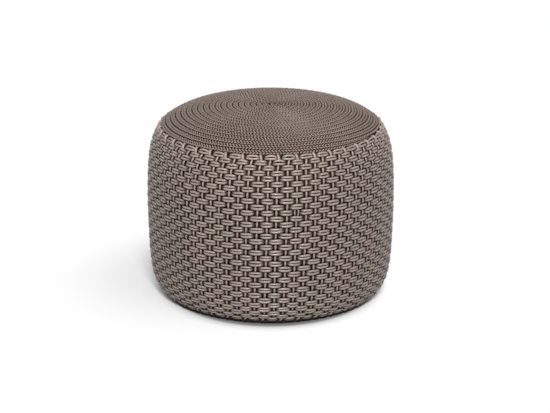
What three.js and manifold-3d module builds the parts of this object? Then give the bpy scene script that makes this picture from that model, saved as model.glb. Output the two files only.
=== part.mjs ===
// Round outdoor footstool: a barrel of resin wicker woven round an aluminium frame, and a crowned seat
// of braided cord wound in one flat spiral over a foam pad. Sizes are in millimetres and +Z is up.
// The origin is on the floor, under the middle of the seat.
import * as THREE from "three";
import { mergeVertices } from "three/addons/utils/BufferGeometryUtils.js";
import Module from "manifold-3d";

const wasm = await Module();
wasm.setup();

// Overall form, measured over the weave
const bellyRadius = 280;
const bellyHeight = 210;
const rimRadius = 247.5;
const rimHeight = 386;
const footRadius = 252.5;
const crownRise = 44.5;

// How the barrel and the crown round off: a slow fall with distance squared, then a fast one
const shoulderSlowShare = 0.34;
const shoulderPower = 6;
const footSlowShare = 0.33;
const footPower = 10;
const crownSlowShare = 0.33;
const crownPower = 6;

// Running gap that every fit between two pieces keeps
const clearance = 0.3;

// Wicker side: upright stakes with rows of paired weft cord passing over and under them
const stakeCount = 82;
const weftRows = 32;
const weaveThickness = 16;
const weaveRelief = 7;
const stakeDiameter = 5;
const stakeLean = THREE.MathUtils.degToRad(2.3);
const firstStake = THREE.MathUtils.degToRad(3.4);
const shoulderLean = THREE.MathUtils.degToRad(1.15);
const shoulderLeanShare = 0.11;
const tuckLength = 22;
const weaveInnerStations = 7;

// The rows close up towards the foot: distances up the side at some of them, the lowest being row 0
const rowMarks = [
  { row: 0, distance: 6 },
  { row: 4, distance: 46.4 },
  { row: 9, distance: 106.4 },
  { row: 17, distance: 207.5 },
  { row: 19, distance: 232.8 },
  { row: 24, distance: 297.6 },
  { row: 27, distance: 334 },
  { row: 31, distance: 379.7 },
];

// Coiled seat: flat braided cord, its turns sewn edge to edge, the tail tapered to close the edge
const coilTurns = 19;
const coilThickness = 9;
const coilGap = 0.7;
const coilFlatShare = 0.56;
const coilStepOutShare = 0.2;
const coilTailShare = 0.4;
const coilStartTurns = -0.25;
const coilNoseLength = 4.5;
const coilNoseShare = 0.48;
const stepsPerTurn = 24;

// Foam pad and the drained board that it lies on
const padEdge = 2.5;
const deckThickness = 6;
const drainRadius = 4;
const drainCount = 12;
const drainCircleRadius = 165;

// Welded frame: hoops of round tube, ribs of flat bar and the cross under the board
const rimTubeRadius = 11;
const bellyTubeRadius = 6;
const ribCount = 8;
const ribWidth = 20;
const ribThickness = 5;
const spokeCount = 4;
const spokeWidth = 20;
const spokeDepth = 16;
const hubRadius = 30;
const hubEdge = 2;

// Base ring that shows as a dark line under the weave, and the nylon glides pushed into it
const baseThickness = 6.4;
const baseWidth = 30;
const baseSetback = 6.5;
const baseEdge = 1;
const glideCount = 6;
const glideHeight = 2.5;
const glideRadius = 13;
const glideEdge = 0.8;
const glideStemRadius = 4;
const glideStemShare = 0.8;

// Countersunk screws that hold the board to the cross and the hub
const screwHeadRadius = 5.5;
const screwHeadDepth = 3;
const screwRadius = 2.5;
const screwLength = 18;
const screwCircleRadius = 110;

// Facets round the large rings, and round the small turned pieces
const ringFacets = 48;
const baseFacets = 56;
const tubeFacets = 8;
const smallFacets = 12;
const padStations = 8;
const overrun = 1;

const fullTurn = 2 * Math.PI;
const baseBottom = glideHeight + clearance;
const baseTop = baseBottom + baseThickness;
const footHeight = baseTop + clearance;

// Outside line of the weave in a half section, from its foot up to the edge of the seat
class WeaveLine extends THREE.Curve {
  getPoint(share, target = new THREE.Vector2()) {
    const height = THREE.MathUtils.lerp(footHeight, rimHeight, share);
    const upper = height > bellyHeight;
    const reach = upper ? rimHeight - bellyHeight : bellyHeight - footHeight;
    const away = Math.abs(height - bellyHeight) / reach;
    const slowShare = upper ? shoulderSlowShare : footSlowShare;
    const power = upper ? shoulderPower : footPower;
    const fall = bellyRadius - (upper ? rimRadius : footRadius);
    const fallShare = slowShare * away ** 2 + (1 - slowShare) * away ** power;
    return target.set(bellyRadius - fall * fallShare, height);
  }
}

// Top line of the seat in a half section, from its edge up to the middle
class CrownLine extends THREE.Curve {
  getPoint(share, target = new THREE.Vector2()) {
    const away = 1 - share;
    const fallShare = crownSlowShare * away ** 2 + (1 - crownSlowShare) * away ** crownPower;
    return target.set(rimRadius * away, rimHeight + crownRise * (1 - fallShare));
  }
}

const weaveLine = new WeaveLine();
const crownLine = new CrownLine();
const crownLength = crownLine.getLength();

// Point at a share of a line's length, set in from the outside by a depth
function inside(line, share, depth) {
  const point = line.getPointAt(share);
  const along = line.getTangentAt(share);
  return new THREE.Vector2(point.x - along.y * depth, point.y + along.x * depth);
}

// Point at a distance along the crown from its middle, on either side of it
function underCrown(distance, depth) {
  const point = inside(crownLine, 1 - Math.abs(distance) / crownLength, depth);
  return distance < 0 ? point.setX(-point.x) : point;
}

// Point under the coil, a running gap or more below it. The coil's flats between two steps lie a little
// inside its corners, so what lies under it is drawn in by the same share.
const coilFlatsShare = Math.cos(Math.PI / stepsPerTurn);

function underCoil(distance, depth) {
  const point = underCrown(distance, coilThickness + clearance + depth);
  return point.setX(point.x * coilFlatsShare);
}

// Height of the space under the coil at a radius, found by halving the crown line
function coilUnderside(radius) {
  let near = 0;
  let far = crownLength;
  while (far - near > clearance / crownLength) {
    const middle = (near + far) / 2;
    if (underCoil(middle, 0).x < radius) near = middle;
    else far = middle;
  }
  return underCoil(far, 0).y;
}

function turned(point, angle) {
  return [point.x * Math.cos(angle), point.x * Math.sin(angle), point.y];
}

// Closed surface over rings of points: each ring joins the next, and the last joins the first or is capped
function skin(rings, { closed, corner }) {
  const count = rings[0].length;
  const index = [];
  const spans = closed ? rings.length : rings.length - 1;
  for (let ring = 0; ring < spans; ring++) {
    for (let column = 0; column < count; column++) {
      const next = (ring + 1) % rings.length;
      const side = (column + 1) % count;
      const a = ring * count + column;
      const b = ring * count + side;
      const c = next * count + side;
      const d = next * count + column;
      if (corner(ring, column)) index.push(a, b, c, a, c, d);
      else index.push(a, b, d, b, c, d);
    }
  }
  if (!closed) {
    const last = (rings.length - 1) * count;
    for (let column = 1; column < count - 1; column++) {
      index.push(0, column + 1, column);
      index.push(last, last + column, last + column + 1);
    }
  }
  const geometry = new THREE.BufferGeometry();
  geometry.setAttribute("position", new THREE.Float32BufferAttribute(rings.flat(2), 3));
  geometry.setIndex(index);
  geometry.computeVertexNormals();
  return geometry;
}

// Closed mesh as a solid for joining and cutting, and back again
function solidOf(geometry) {
  const bare = geometry.clone();
  bare.deleteAttribute("normal");
  bare.deleteAttribute("uv");
  const merged = mergeVertices(bare);
  return new wasm.Manifold(
    new wasm.Mesh({
      numProp: 3,
      vertProperties: new Float32Array(merged.attributes.position.array),
      triVerts: new Uint32Array(merged.index.array),
    }),
  );
}

function geometryOf(solid) {
  const mesh = solid.getMesh();
  const geometry = new THREE.BufferGeometry();
  geometry.setAttribute("position", new THREE.Float32BufferAttribute(mesh.vertProperties, 3));
  geometry.setIndex(new THREE.Uint32BufferAttribute(mesh.triVerts, 1));
  geometry.computeVertexNormals();
  return geometry;
}

// Turned piece: a half section of [radius, height] points spun round the Z axis
function lathe(points, facets) {
  const outline = points.map(([radius, height]) => new THREE.Vector2(radius, height));
  return new THREE.LatheGeometry(outline, facets).rotateX(Math.PI / 2);
}

// What stands on the base ring is cut off level there, however the barrel leans at its foot
function cutLevel(point) {
  return point.setY(Math.max(point.y, footHeight));
}

// Wicker side: at each crossing the weft stands proud of the stake or dips behind it, in turn.
// The top edge steps in under the coiled seat, down a ledge, and wraps over the rim hoop.
const coilEdge = underCoil(crownLength, 0);
const edgeSlope = crownLine.getTangentAt(0);
const ledgeWidth = coilEdge.x / coilFlatsShare - coilEdge.x;
const ledge = coilEdge.clone().addScaledVector(edgeSlope, ledgeWidth / edgeSlope.x);
const tuckTop = underCoil(crownLength - tuckLength, 0);
const tuckEnd = underCoil(crownLength - tuckLength, stakeDiameter);
const wallShares = Array.from(
  { length: weaveInnerStations },
  (_, station) => 1 - station / (weaveInnerStations - 1),
);

// Stakes lean sideways on their way up, and more so over the shoulder
function stakeAngle(column, share) {
  const shoulder = THREE.MathUtils.smoothstep(share, 1 - shoulderLeanShare, 1);
  return firstStake + (column / stakeCount) * fullTurn + stakeLean * share + shoulderLean * shoulder;
}

// Share of the side's length at a row, from the marks on either side of it
function rowShare(row) {
  const below = rowMarks.findLast((mark) => mark.row <= row);
  const above = rowMarks.find((mark) => mark.row >= row);
  const part = THREE.MathUtils.inverseLerp(below.row, above.row, row);
  return THREE.MathUtils.lerp(below.distance, above.distance, part) / weaveLine.getLength();
}

function wovenSide() {
  const rings = [];
  const addRing = (share, placeOf) =>
    rings.push(
      Array.from({ length: stakeCount }, (_, column) => turned(placeOf(column), stakeAngle(column, share))),
    );
  addRing(0, () => cutLevel(inside(weaveLine, 0, weaveRelief / 2)));
  for (let row = 0; row < weftRows; row++) {
    const share = rowShare(row);
    addRing(share, (column) => inside(weaveLine, share, (row + column) % 2 ? 0 : weaveRelief));
  }
  addRing(1, () => inside(weaveLine, 1, 0));
  addRing(1, () => ledge);
  addRing(1, () => tuckTop);
  addRing(1, () => tuckEnd);
  for (const share of wallShares) addRing(share, () => cutLevel(inside(weaveLine, share, weaveThickness)));
  const wallFoot = inside(weaveLine, 0, weaveThickness);
  if (wallFoot.y > footHeight) addRing(0, () => new THREE.Vector2(wallFoot.x, footHeight));
  return skin(rings, { closed: true, corner: (ring, column) => (ring + column) % 2 === 1 });
}

// Coiled seat. A groove is the seam between one turn and the next, as a distance from the middle: an
// even spiral at the middle, and nearly round rings that step out together towards the edge.
const coilPitch = (crownLength - clearance) / coilTurns;

function groove(turns) {
  const whole = Math.floor(turns);
  const part = turns - whole;
  const roundShare = THREE.MathUtils.clamp(whole / coilTurns, 0, 1);
  const stepOut = THREE.MathUtils.smoothstep(part, 1 - coilStepOutShare, 1);
  return coilPitch * (whole + THREE.MathUtils.lerp(part, stepOut, roundShare));
}

// Six-sided section of the braid between an inner and an outer distance along the crown
function coilSection(inner, outer) {
  const middle = (inner + outer) / 2;
  const half = (outer - inner) / 2;
  const flat = half * coilFlatShare;
  return [
    underCrown(middle - half, coilThickness / 2),
    underCrown(middle - flat, 0),
    underCrown(middle + flat, 0),
    underCrown(middle + half, coilThickness / 2),
    underCrown(middle + flat, coilThickness),
    underCrown(middle - flat, coilThickness),
  ];
}

function coilSections() {
  const firstStep = Math.round(coilStartTurns * stepsPerTurn);
  const lastStep = Math.floor((coilTurns - coilStepOutShare * coilTailShare) * stepsPerTurn);
  const sections = [];
  for (let step = firstStep; step <= lastStep; step++) {
    const turns = step / stepsPerTurn;
    const inner = groove(turns) + coilGap / 2;
    const outer = Math.min(groove(turns + 1), crownLength - clearance) - coilGap / 2;
    sections.push(coilSection(inner, outer).map((point) => turned(point, turns * fullTurn)));
  }
  // The inner end runs straight on from the first section and narrows to close the middle
  const angle = (firstStep / stepsPerTurn) * fullTurn;
  const middle = (groove(coilStartTurns) + groove(coilStartTurns + 1)) / 2;
  const half = ((coilPitch - coilGap) / 2) * coilNoseShare;
  const nose = coilSection(middle - half, middle + half).map((point) => {
    const [x, y, z] = turned(point, angle);
    return [x + Math.sin(angle) * coilNoseLength, y - Math.cos(angle) * coilNoseLength, z];
  });
  return [nose, ...sections];
}

// Least distance between points of the coil that lie at least half a turn apart
function leastCoilGap(sections) {
  let least = Infinity;
  for (let one = 0; one < sections.length; one++) {
    for (let other = one + stepsPerTurn / 2; other < sections.length; other++) {
      for (const [x, y, z] of sections[one]) {
        for (const [u, v, w] of sections[other]) least = Math.min(least, Math.hypot(x - u, y - v, z - w));
      }
    }
  }
  return least;
}

const sections = coilSections();
console.log("least gap of the coil to itself " + leastCoilGap(sections).toFixed(2) + " mm");

// Board under the pad, as high as the seat's underside at its edge allows
const deckRadius = tuckEnd.x - clearance;
const deckTop = coilUnderside(deckRadius) - clearance - padEdge;
const deckBottom = deckTop - deckThickness;

// Frame sizes that follow the weave: the ribs lie on its inner wall and the hoops inside the ribs
const wallRound = Math.cos(Math.PI / stakeCount);

// Point on a rib's outer or inner face at a share of the weave's line
function ribFace(share, thickness) {
  const wall = inside(weaveLine, share, weaveThickness + clearance + thickness);
  const half = ribWidth / 2;
  return new THREE.Vector2(Math.sqrt((wall.x * wallRound) ** 2 - half ** 2), wall.y);
}

// Radius of the ribs' inner face at a height, by halving the weave's line
function ribInnerRadius(height) {
  let low = 0;
  let high = 1;
  while (high - low > clearance / rimHeight / ribCount) {
    const middle = (low + high) / 2;
    if (ribFace(middle, ribThickness).y < height) low = middle;
    else high = middle;
  }
  return ribFace(low, ribThickness).x;
}

// Rim hoop: as wide as the ribs and the weave that wraps over it leave room for
const rimTubeHeight = deckBottom - clearance - rimTubeRadius;
const wrapEnd = inside(weaveLine, 1, weaveThickness);
const wrapLine = wrapEnd.clone().sub(tuckEnd).normalize();
const rimTubeReach = rimTubeRadius + clearance;
const wrapLimit = tuckEnd.x + (wrapLine.x * (tuckEnd.y - rimTubeHeight) - rimTubeReach) / -wrapLine.y;
const ribLimit = ribInnerRadius(Math.min(rimTubeHeight, ribFace(1, ribThickness).y)) - rimTubeReach;
const rimHoopRadius = Math.min(wrapLimit, ribLimit);
const bellyHoopRadius = ribInnerRadius(bellyHeight) - clearance - bellyTubeRadius;

function rimHoop(growth) {
  return new THREE.TorusGeometry(rimHoopRadius, rimTubeRadius + growth, tubeFacets, ringFacets).translate(
    0,
    0,
    rimTubeHeight,
  );
}

function bellyHoop() {
  const hoop = new THREE.TorusGeometry(bellyHoopRadius, bellyTubeRadius, tubeFacets, ringFacets);
  return hoop.translate(0, 0, bellyHeight);
}

// Rib: flat bar bent to the inner wall of the weave, standing on the base ring
function rib() {
  const faceOf = (thickness) =>
    wallShares.map((share) => ribFace(share, thickness)).filter((point) => point.y > footHeight);
  const outer = faceOf(0);
  const inner = faceOf(ribThickness).reverse();
  const outline = [...outer, new THREE.Vector2(outer[outer.length - 1].x, footHeight)];
  outline.push(new THREE.Vector2(inner[0].x, footHeight), ...inner);
  const shape = new THREE.Shape(outline);
  const bar = new THREE.ExtrudeGeometry(shape, { depth: ribWidth, bevelEnabled: false });
  return bar.rotateX(Math.PI / 2).translate(0, ribWidth / 2, 0);
}

// Screw and the hole that it sits in, grown all round by the running gap
function screw(growth) {
  const top = deckTop + (growth > 0 ? overrun : 0);
  const tip = deckTop - screwLength - growth;
  return lathe(
    [
      [0, tip],
      [screwRadius + growth, tip],
      [screwRadius + growth, deckTop - screwHeadDepth],
      [screwHeadRadius + growth, deckTop],
      ...(growth > 0 ? [[screwHeadRadius + growth, top]] : []),
      [0, top],
    ],
    smallFacets,
  );
}

// Cross under the board: a hub with arms whose ends are coped to the rim hoop
const spokeTop = deckBottom - clearance;

function hub() {
  const bottom = spokeTop - spokeDepth;
  const boss = lathe(
    [
      [0, bottom],
      [hubRadius - hubEdge, bottom],
      [hubRadius, bottom + hubEdge],
      [hubRadius, spokeTop],
      [0, spokeTop],
    ],
    ringFacets / 2,
  );
  return geometryOf(solidOf(boss).subtract(solidOf(screw(clearance))));
}

function spoke() {
  const start = hubRadius + clearance;
  const length = rimHoopRadius - start;
  const bar = new THREE.BoxGeometry(length, spokeWidth, spokeDepth);
  bar.translate(start + length / 2, 0, spokeTop - spokeDepth / 2);
  return geometryOf(
    solidOf(bar)
      .subtract(solidOf(rimHoop(clearance)))
      .subtract(solidOf(screw(clearance).translate(screwCircleRadius, 0, 0))),
  );
}

function seatDeck() {
  const board = new THREE.CylinderGeometry(deckRadius, deckRadius, deckThickness, ringFacets);
  board.rotateX(Math.PI / 2).translate(0, 0, deckTop - deckThickness / 2);
  let deck = solidOf(board).subtract(solidOf(screw(clearance)));
  for (let arm = 0; arm < spokeCount; arm++) {
    const hole = screw(clearance).translate(screwCircleRadius, 0, 0);
    deck = deck.subtract(solidOf(hole.rotateZ((arm / spokeCount) * fullTurn)));
  }
  const depth = deckThickness + 2 * overrun;
  for (let drain = 0; drain < drainCount; drain++) {
    const hole = new THREE.CylinderGeometry(drainRadius, drainRadius, depth, tubeFacets);
    hole.rotateX(Math.PI / 2).translate(drainCircleRadius, 0, deckTop - deckThickness / 2);
    deck = deck.subtract(solidOf(hole.rotateZ(((drain + 0.5) / drainCount) * fullTurn)));
  }
  return geometryOf(deck);
}

// Foam pad: flat on the board, crowned to the underside of the coil
function crownPad() {
  const bottom = deckTop + clearance;
  const edge = new THREE.Vector2(deckRadius, bottom + padEdge);
  const profile = [[0, bottom], [deckRadius, bottom], [edge.x, edge.y - clearance]];
  for (let station = padStations - 1; station >= 0; station--) {
    const radius = (deckRadius * station) / padStations;
    profile.push([radius, coilUnderside(radius) - clearance]);
  }
  return lathe(profile, ringFacets);
}

// Base ring, set back under the foot of the weave
const baseOuter = footRadius - baseSetback;
const baseInner = baseOuter - baseWidth;
const glideCircleRadius = baseInner + baseWidth / 2 - baseEdge;
const glideStemTop = baseBottom + baseThickness * glideStemShare;

function glide() {
  return lathe(
    [
      [0, 0],
      [glideRadius - glideEdge, 0],
      [glideRadius, glideEdge],
      [glideRadius, glideHeight],
      [glideStemRadius, glideHeight],
      [glideStemRadius, glideStemTop],
      [0, glideStemTop],
    ],
    smallFacets,
  );
}

function baseRing() {
  const band = lathe(
    [
      [baseInner, baseBottom],
      [baseOuter - baseEdge, baseBottom],
      [baseOuter, baseBottom + baseEdge],
      [baseOuter, baseTop],
      [baseInner, baseTop],
      [baseInner, baseBottom],
    ],
    baseFacets,
  );
  let ring = solidOf(band);
  const holeRadius = glideStemRadius + clearance;
  const depth = baseThickness + 2 * overrun;
  for (let place = 0; place < glideCount; place++) {
    const hole = new THREE.CylinderGeometry(holeRadius, holeRadius, depth, smallFacets);
    hole.rotateX(Math.PI / 2).translate(glideCircleRadius, 0, baseBottom + baseThickness / 2);
    ring = ring.subtract(solidOf(hole.rotateZ((place / glideCount) * fullTurn)));
  }
  return geometryOf(ring);
}

// Finishes
const finish = (color, roughness, metalness) =>
  new THREE.MeshStandardMaterial({ color, roughness, metalness, flatShading: true });
const wicker = finish(0x8a7c71, 0.55, 0);
const braid = finish(0x86786e, 0.8, 0);
const foam = finish(0xc9c5b8, 0.95, 0);
const board = finish(0x3b3a38, 0.6, 0);
const powderCoat = finish(0x4b3c33, 0.5, 0.3);
const darkBase = finish(0x2b1e19, 0.5, 0.2);
const nylon = finish(0x1c1a19, 0.45, 0);
const stainless = finish(0xb5b7b9, 0.3, 1);

const stool = new THREE.Group();

function place(name, geometry, material, x = 0, angle = 0) {
  const arm = new THREE.Group();
  const mesh = new THREE.Mesh(geometry, material);
  mesh.name = name;
  mesh.position.x = x;
  arm.rotation.z = angle;
  arm.add(mesh);
  stool.add(arm);
}

place("woven_side", wovenSide(), wicker);
place("coiled_top", skin(sections, { closed: false, corner: () => true }), braid);
place("crown_pad", crownPad(), foam);
place("seat_deck", seatDeck(), board);
place("rim_hoop", rimHoop(0), powderCoat);
place("belly_hoop", bellyHoop(), powderCoat);
place("base_ring", baseRing(), darkBase);
place("hub", hub(), powderCoat);

const ribBar = rib();
for (let number = 0; number < ribCount; number++) {
  place(`rib_${number + 1}`, ribBar, powderCoat, 0, ((number + 0.5) / ribCount) * fullTurn);
}

const spokeBar = spoke();
const deckScrew = screw(0);
for (let number = 0; number < spokeCount; number++) {
  const angle = (number / spokeCount) * fullTurn;
  place(`spoke_${number + 1}`, spokeBar, powderCoat, 0, angle);
  place(`deck_screw_${number + 1}`, deckScrew, stainless, screwCircleRadius, angle);
}
place("hub_screw", deckScrew, stainless);

const glideButton = glide();
for (let number = 0; number < glideCount; number++) {
  place(`glide_${number + 1}`, glideButton, nylon, glideCircleRadius, (number / glideCount) * fullTurn);
}

export default stool;
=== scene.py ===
import math

import bmesh
import bpy
import mathutils
import numpy as np
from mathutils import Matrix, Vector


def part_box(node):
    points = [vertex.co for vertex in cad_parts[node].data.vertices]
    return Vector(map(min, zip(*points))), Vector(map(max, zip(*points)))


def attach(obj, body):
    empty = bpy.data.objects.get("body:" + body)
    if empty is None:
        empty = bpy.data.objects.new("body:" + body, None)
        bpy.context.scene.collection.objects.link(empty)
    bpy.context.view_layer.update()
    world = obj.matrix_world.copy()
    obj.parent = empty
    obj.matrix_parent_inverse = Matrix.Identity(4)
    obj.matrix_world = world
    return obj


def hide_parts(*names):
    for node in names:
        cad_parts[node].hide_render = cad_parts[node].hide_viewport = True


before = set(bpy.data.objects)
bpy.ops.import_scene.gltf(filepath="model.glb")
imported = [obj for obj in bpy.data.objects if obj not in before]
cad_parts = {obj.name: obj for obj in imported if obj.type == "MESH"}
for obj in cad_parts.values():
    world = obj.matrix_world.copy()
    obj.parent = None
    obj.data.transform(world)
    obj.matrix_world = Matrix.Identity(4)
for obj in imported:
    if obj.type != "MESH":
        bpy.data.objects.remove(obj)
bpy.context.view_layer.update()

# Base ring: flat bar of aluminium rolled to a ring and powder-coated dark brown. It stands on six
# nylon glides, set back under the weave, and shows as a dark line along the floor.
MM = 0.001
FULL_TURN = 2 * math.pi
GLIDE_HEIGHT = 2.5 * MM
CLEARANCE = 0.3 * MM
FOOT_RADIUS = 252.5 * MM
BASE_THICKNESS = 6.4 * MM
BASE_WIDTH = 30 * MM
BASE_SETBACK = 6.5 * MM
BASE_EDGE = 1 * MM
BASE_OUTER = FOOT_RADIUS - BASE_SETBACK
BASE_INNER = BASE_OUTER - BASE_WIDTH
BASE_BOTTOM = GLIDE_HEIGHT + CLEARANCE
BASE_TOP = BASE_BOTTOM + BASE_THICKNESS
BASE_FACETS = 240
EDGE_STEPS = 4
SHARP_EDGE = 35
TOUCHING = 0.001 * MM
COAT_CLOUD = 71.43 * MM
COAT_PEEL = 1.5 * MM


def linear(code):
    """An sRGB hex code as linear red, green, blue and alpha."""
    parts = [int(code[i : i + 2], 16) / 255 for i in (0, 2, 4)]
    return [c / 12.92 if c <= 0.04045 else ((c + 0.055) / 1.055) ** 2.4 for c in parts] + [1.0]


def add(tree, kind, inputs=(), stops=(), **settings):
    """Adds one node. Inputs hold a socket to link or a value, and stops are a colour ramp's places and
    hex codes. Settings are its properties, or its inputs where it has no such property."""
    made = tree.nodes.new(kind)
    for name, value in settings.items():
        if hasattr(made, name):
            setattr(made, name, value)
        else:
            made.inputs[name.replace("_", " ")].default_value = value
    for name, source in dict(inputs).items():
        if isinstance(source, bpy.types.NodeSocket):
            tree.links.new(source, made.inputs[name])
        else:
            made.inputs[name].default_value = source
    for number, (place, code) in enumerate(stops):
        colours = made.color_ramp.elements
        stop = colours[number] if number < 2 else colours.new(place)
        stop.position = place
        stop.color = linear(code)
    return made


def finish(name, **settings):
    """A new material with the shader's own sockets set; its tree and its shader are returned too."""
    material = bpy.data.materials.new(name)
    material.use_nodes = True
    tree = material.node_tree
    shader = tree.nodes["Principled BSDF"]
    for key, value in settings.items():
        shader.inputs[key.replace("_", " ")].default_value = value
    return material, tree, shader


def powder_coat(name, dark, light):
    """Powder-coated aluminium: an even satin film with a fine orange peel of about 1.5 mm."""
    material, tree, shader = finish(name, Roughness=0.5, IOR=1.5)
    place = add(tree, "ShaderNodeTexCoord").outputs["Object"]
    cloud = add(tree, "ShaderNodeTexNoise", {"Vector": place}, Scale=1 / COAT_CLOUD, Detail=3.0)
    brown = add(tree, "ShaderNodeValToRGB", {"Fac": cloud.outputs["Fac"]}, [(0, dark), (1, light)])
    tree.links.new(brown.outputs["Color"], shader.inputs["Base Color"])
    peel = add(tree, "ShaderNodeTexNoise", {"Vector": place}, Scale=1 / COAT_PEEL, Detail=1.0)
    bump = add(tree, "ShaderNodeBump", {"Height": peel.outputs["Fac"]}, Strength=0.12, Distance=0.1 * MM)
    tree.links.new(bump.outputs["Normal"], shader.inputs["Normal"])
    return material


def show(piece, material, slot, *nodes):
    """Gives a piece its finish, lets it ride on the one body, and hides the nodes that it stands for."""
    piece.data.materials.clear()
    piece.data.materials.append(material)
    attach(piece, "root")
    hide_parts(*nodes)


def mesh_piece(name, points, faces, runs=None):
    """A smooth-shaded mesh object; runs are its (along, around) places in metres, one for each corner."""
    mesh = bpy.data.meshes.new(name)
    mesh.from_pydata(points, [], faces, shade_flat=False)
    if runs is not None:
        layer = mesh.uv_layers.new(name="run")
        layer.uv.foreach_set("vector", np.asarray(runs, dtype=np.float32).ravel())
    mesh.update()
    piece = bpy.data.objects.new(name, mesh)
    bpy.context.scene.collection.objects.link(piece)
    return piece


def weld(piece, crease):
    """Merges the points that meet, drops flat faces and keeps sharp the edges that bend by more than
    the crease angle, in degrees."""
    work = bmesh.new()
    work.from_mesh(piece.data)
    bmesh.ops.remove_doubles(work, verts=work.verts, dist=TOUCHING)
    bmesh.ops.dissolve_degenerate(work, edges=work.edges, dist=TOUCHING)
    bmesh.ops.recalc_face_normals(work, faces=work.faces)
    for edge in work.edges:
        if len(edge.link_faces) == 2 and edge.calc_face_angle() > math.radians(crease):
            edge.smooth = False
    work.to_mesh(piece.data)
    work.free()


def turned(name, section, facets, closed, crease=SHARP_EDGE):
    """A section of (radius, height) points spun round the Z axis, with its sharp edges kept."""
    section = np.asarray(section, dtype=float)
    angles = np.arange(facets) * FULL_TURN / facets
    points = [(r * math.cos(a), r * math.sin(a), z) for a in angles for r, z in section]
    count = len(section)
    spans = count if closed else count - 1
    faces = []
    for facet in range(facets):
        here, there = facet * count, (facet + 1) % facets * count
        for side in range(spans):
            after = (side + 1) % count
            faces.append((here + side, there + side, there + after, here + after))
    piece = mesh_piece(name, points, faces)
    weld(piece, crease)
    return piece


def rounded(section, radius):
    """A closed section of (radius, height) corners with each corner rounded off."""
    corners = [np.asarray(corner, dtype=float) for corner in section]
    out = []
    for number, corner in enumerate(corners):
        before, after = corners[number - 1], corners[(number + 1) % len(corners)]
        into = (before - corner) / np.linalg.norm(before - corner)
        away = (after - corner) / np.linalg.norm(after - corner)
        for step in range(EDGE_STEPS + 1):
            part = step / EDGE_STEPS
            out.append(corner + into * radius * (1 - part) ** 2 + away * radius * part**2)
    return out


dark_coat = powder_coat("aluminium_powder_coated_dark_brown", "35251a", "433024")
base_section = [
    (BASE_INNER, BASE_BOTTOM),
    (BASE_OUTER, BASE_BOTTOM),
    (BASE_OUTER, BASE_TOP),
    (BASE_INNER, BASE_TOP),
]
base_piece = turned("base_ring_bar", rounded(base_section, BASE_EDGE), BASE_FACETS, closed=True)
show(base_piece, dark_coat, "dark_powder_coat", "base_ring")

# Glides: six nylon buttons, moulded black, each pushed by its stem into a hole in the base ring. The
# stool stands on their flat faces.
GLIDE_COUNT = 6
GLIDE_RADIUS = 13 * MM
GLIDE_EDGE = 0.8 * MM
GLIDE_EDGE_MIDDLE = 0.2 * MM
GLIDE_STEM = 4 * MM
GLIDE_STEM_SHARE = 0.8
GLIDE_CIRCLE = BASE_INNER + BASE_WIDTH / 2 - BASE_EDGE
GLIDE_STEM_TOP = BASE_BOTTOM + GLIDE_STEM_SHARE * BASE_THICKNESS
GLIDE_FACETS = 48
NYLON_GRAIN = 0.8 * MM

# Moulded nylon: black, a little waxy, with the fine grain of the mould
nylon, tree, shader = finish("nylon_moulded_black", Roughness=0.42, IOR=1.53)
place = add(tree, "ShaderNodeTexCoord").outputs["Object"]
grain = add(tree, "ShaderNodeTexNoise", {"Vector": place}, Scale=1 / NYLON_GRAIN, Detail=2.0).outputs["Fac"]
black = add(tree, "ShaderNodeValToRGB", {"Fac": grain}, [(0, "161514"), (1, "22201f")])
tree.links.new(black.outputs["Color"], shader.inputs["Base Color"])
bump = add(tree, "ShaderNodeBump", {"Height": grain}, Strength=0.15, Distance=0.1 * MM)
tree.links.new(bump.outputs["Normal"], shader.inputs["Normal"])

glide_section = [
    (0, 0),
    (GLIDE_RADIUS - GLIDE_EDGE, 0),
    (GLIDE_RADIUS - GLIDE_EDGE_MIDDLE, GLIDE_EDGE_MIDDLE),
    (GLIDE_RADIUS, GLIDE_EDGE),
    (GLIDE_RADIUS, GLIDE_HEIGHT),
    (GLIDE_STEM, GLIDE_HEIGHT),
    (GLIDE_STEM, GLIDE_STEM_TOP),
    (0, GLIDE_STEM_TOP),
]
for number in range(GLIDE_COUNT):
    glide = turned(f"glide_button_{number + 1}", glide_section, GLIDE_FACETS, closed=False)
    angle = number / GLIDE_COUNT * FULL_TURN
    glide.location = (GLIDE_CIRCLE * math.cos(angle), GLIDE_CIRCLE * math.sin(angle), 0)
    show(glide, nylon, "nylon_glide", f"glide_{number + 1}")

# Outline of the barrel: the weave's outer face in a half section, from its foot up to the edge of the
# seat. The ribs, hoops, stakes and weft all take their places from it. The weave is drawn a little
# fuller at its foot than the line that the ribs follow.
BELLY_RADIUS = 280 * MM
BELLY_HEIGHT = 210 * MM
RIM_RADIUS = 247.5 * MM
RIM_HEIGHT = 386 * MM
FOOT_HEIGHT = BASE_TOP + CLEARANCE
WEAVE_FOOT_RADIUS = 255 * MM

# From the belly to either end the outline draws in partly by a square and partly by a high power:
# the square's share, and that power
SHOULDER_SLOW, SHOULDER_POWER = 0.34, 6
FOOT_SLOW, FOOT_POWER = 0.33, 10
OUTLINE_POINTS = 4001


class Line:
    """A line in a half section, read by the distance along it: its points and its outward side."""

    def __init__(self, radius, height):
        step = np.hypot(np.diff(radius), np.diff(height))
        self.far = np.concatenate([[0], np.cumsum(step)])
        self.length = self.far[-1]
        self.points = radius, height
        self.slopes = np.gradient(radius, self.far), np.gradient(height, self.far)

    def at(self, far, depth):
        """Radius and height at a distance along the line and a depth under it, run on past its ends."""
        held = np.clip(far, 0, self.length)
        radius, height = (np.interp(held, self.far, line) for line in self.points)
        across, up = (np.interp(held, self.far, slope) for slope in self.slopes)
        past = far - held
        return radius + across * past - up * depth, height + up * past + across * depth

    def outward(self, far):
        """The side that faces out, as its parts along the radius and the height."""
        held = np.clip(far, 0, self.length)
        across, up = (np.interp(held, self.far, slope) for slope in self.slopes)
        return up, -across


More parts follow.
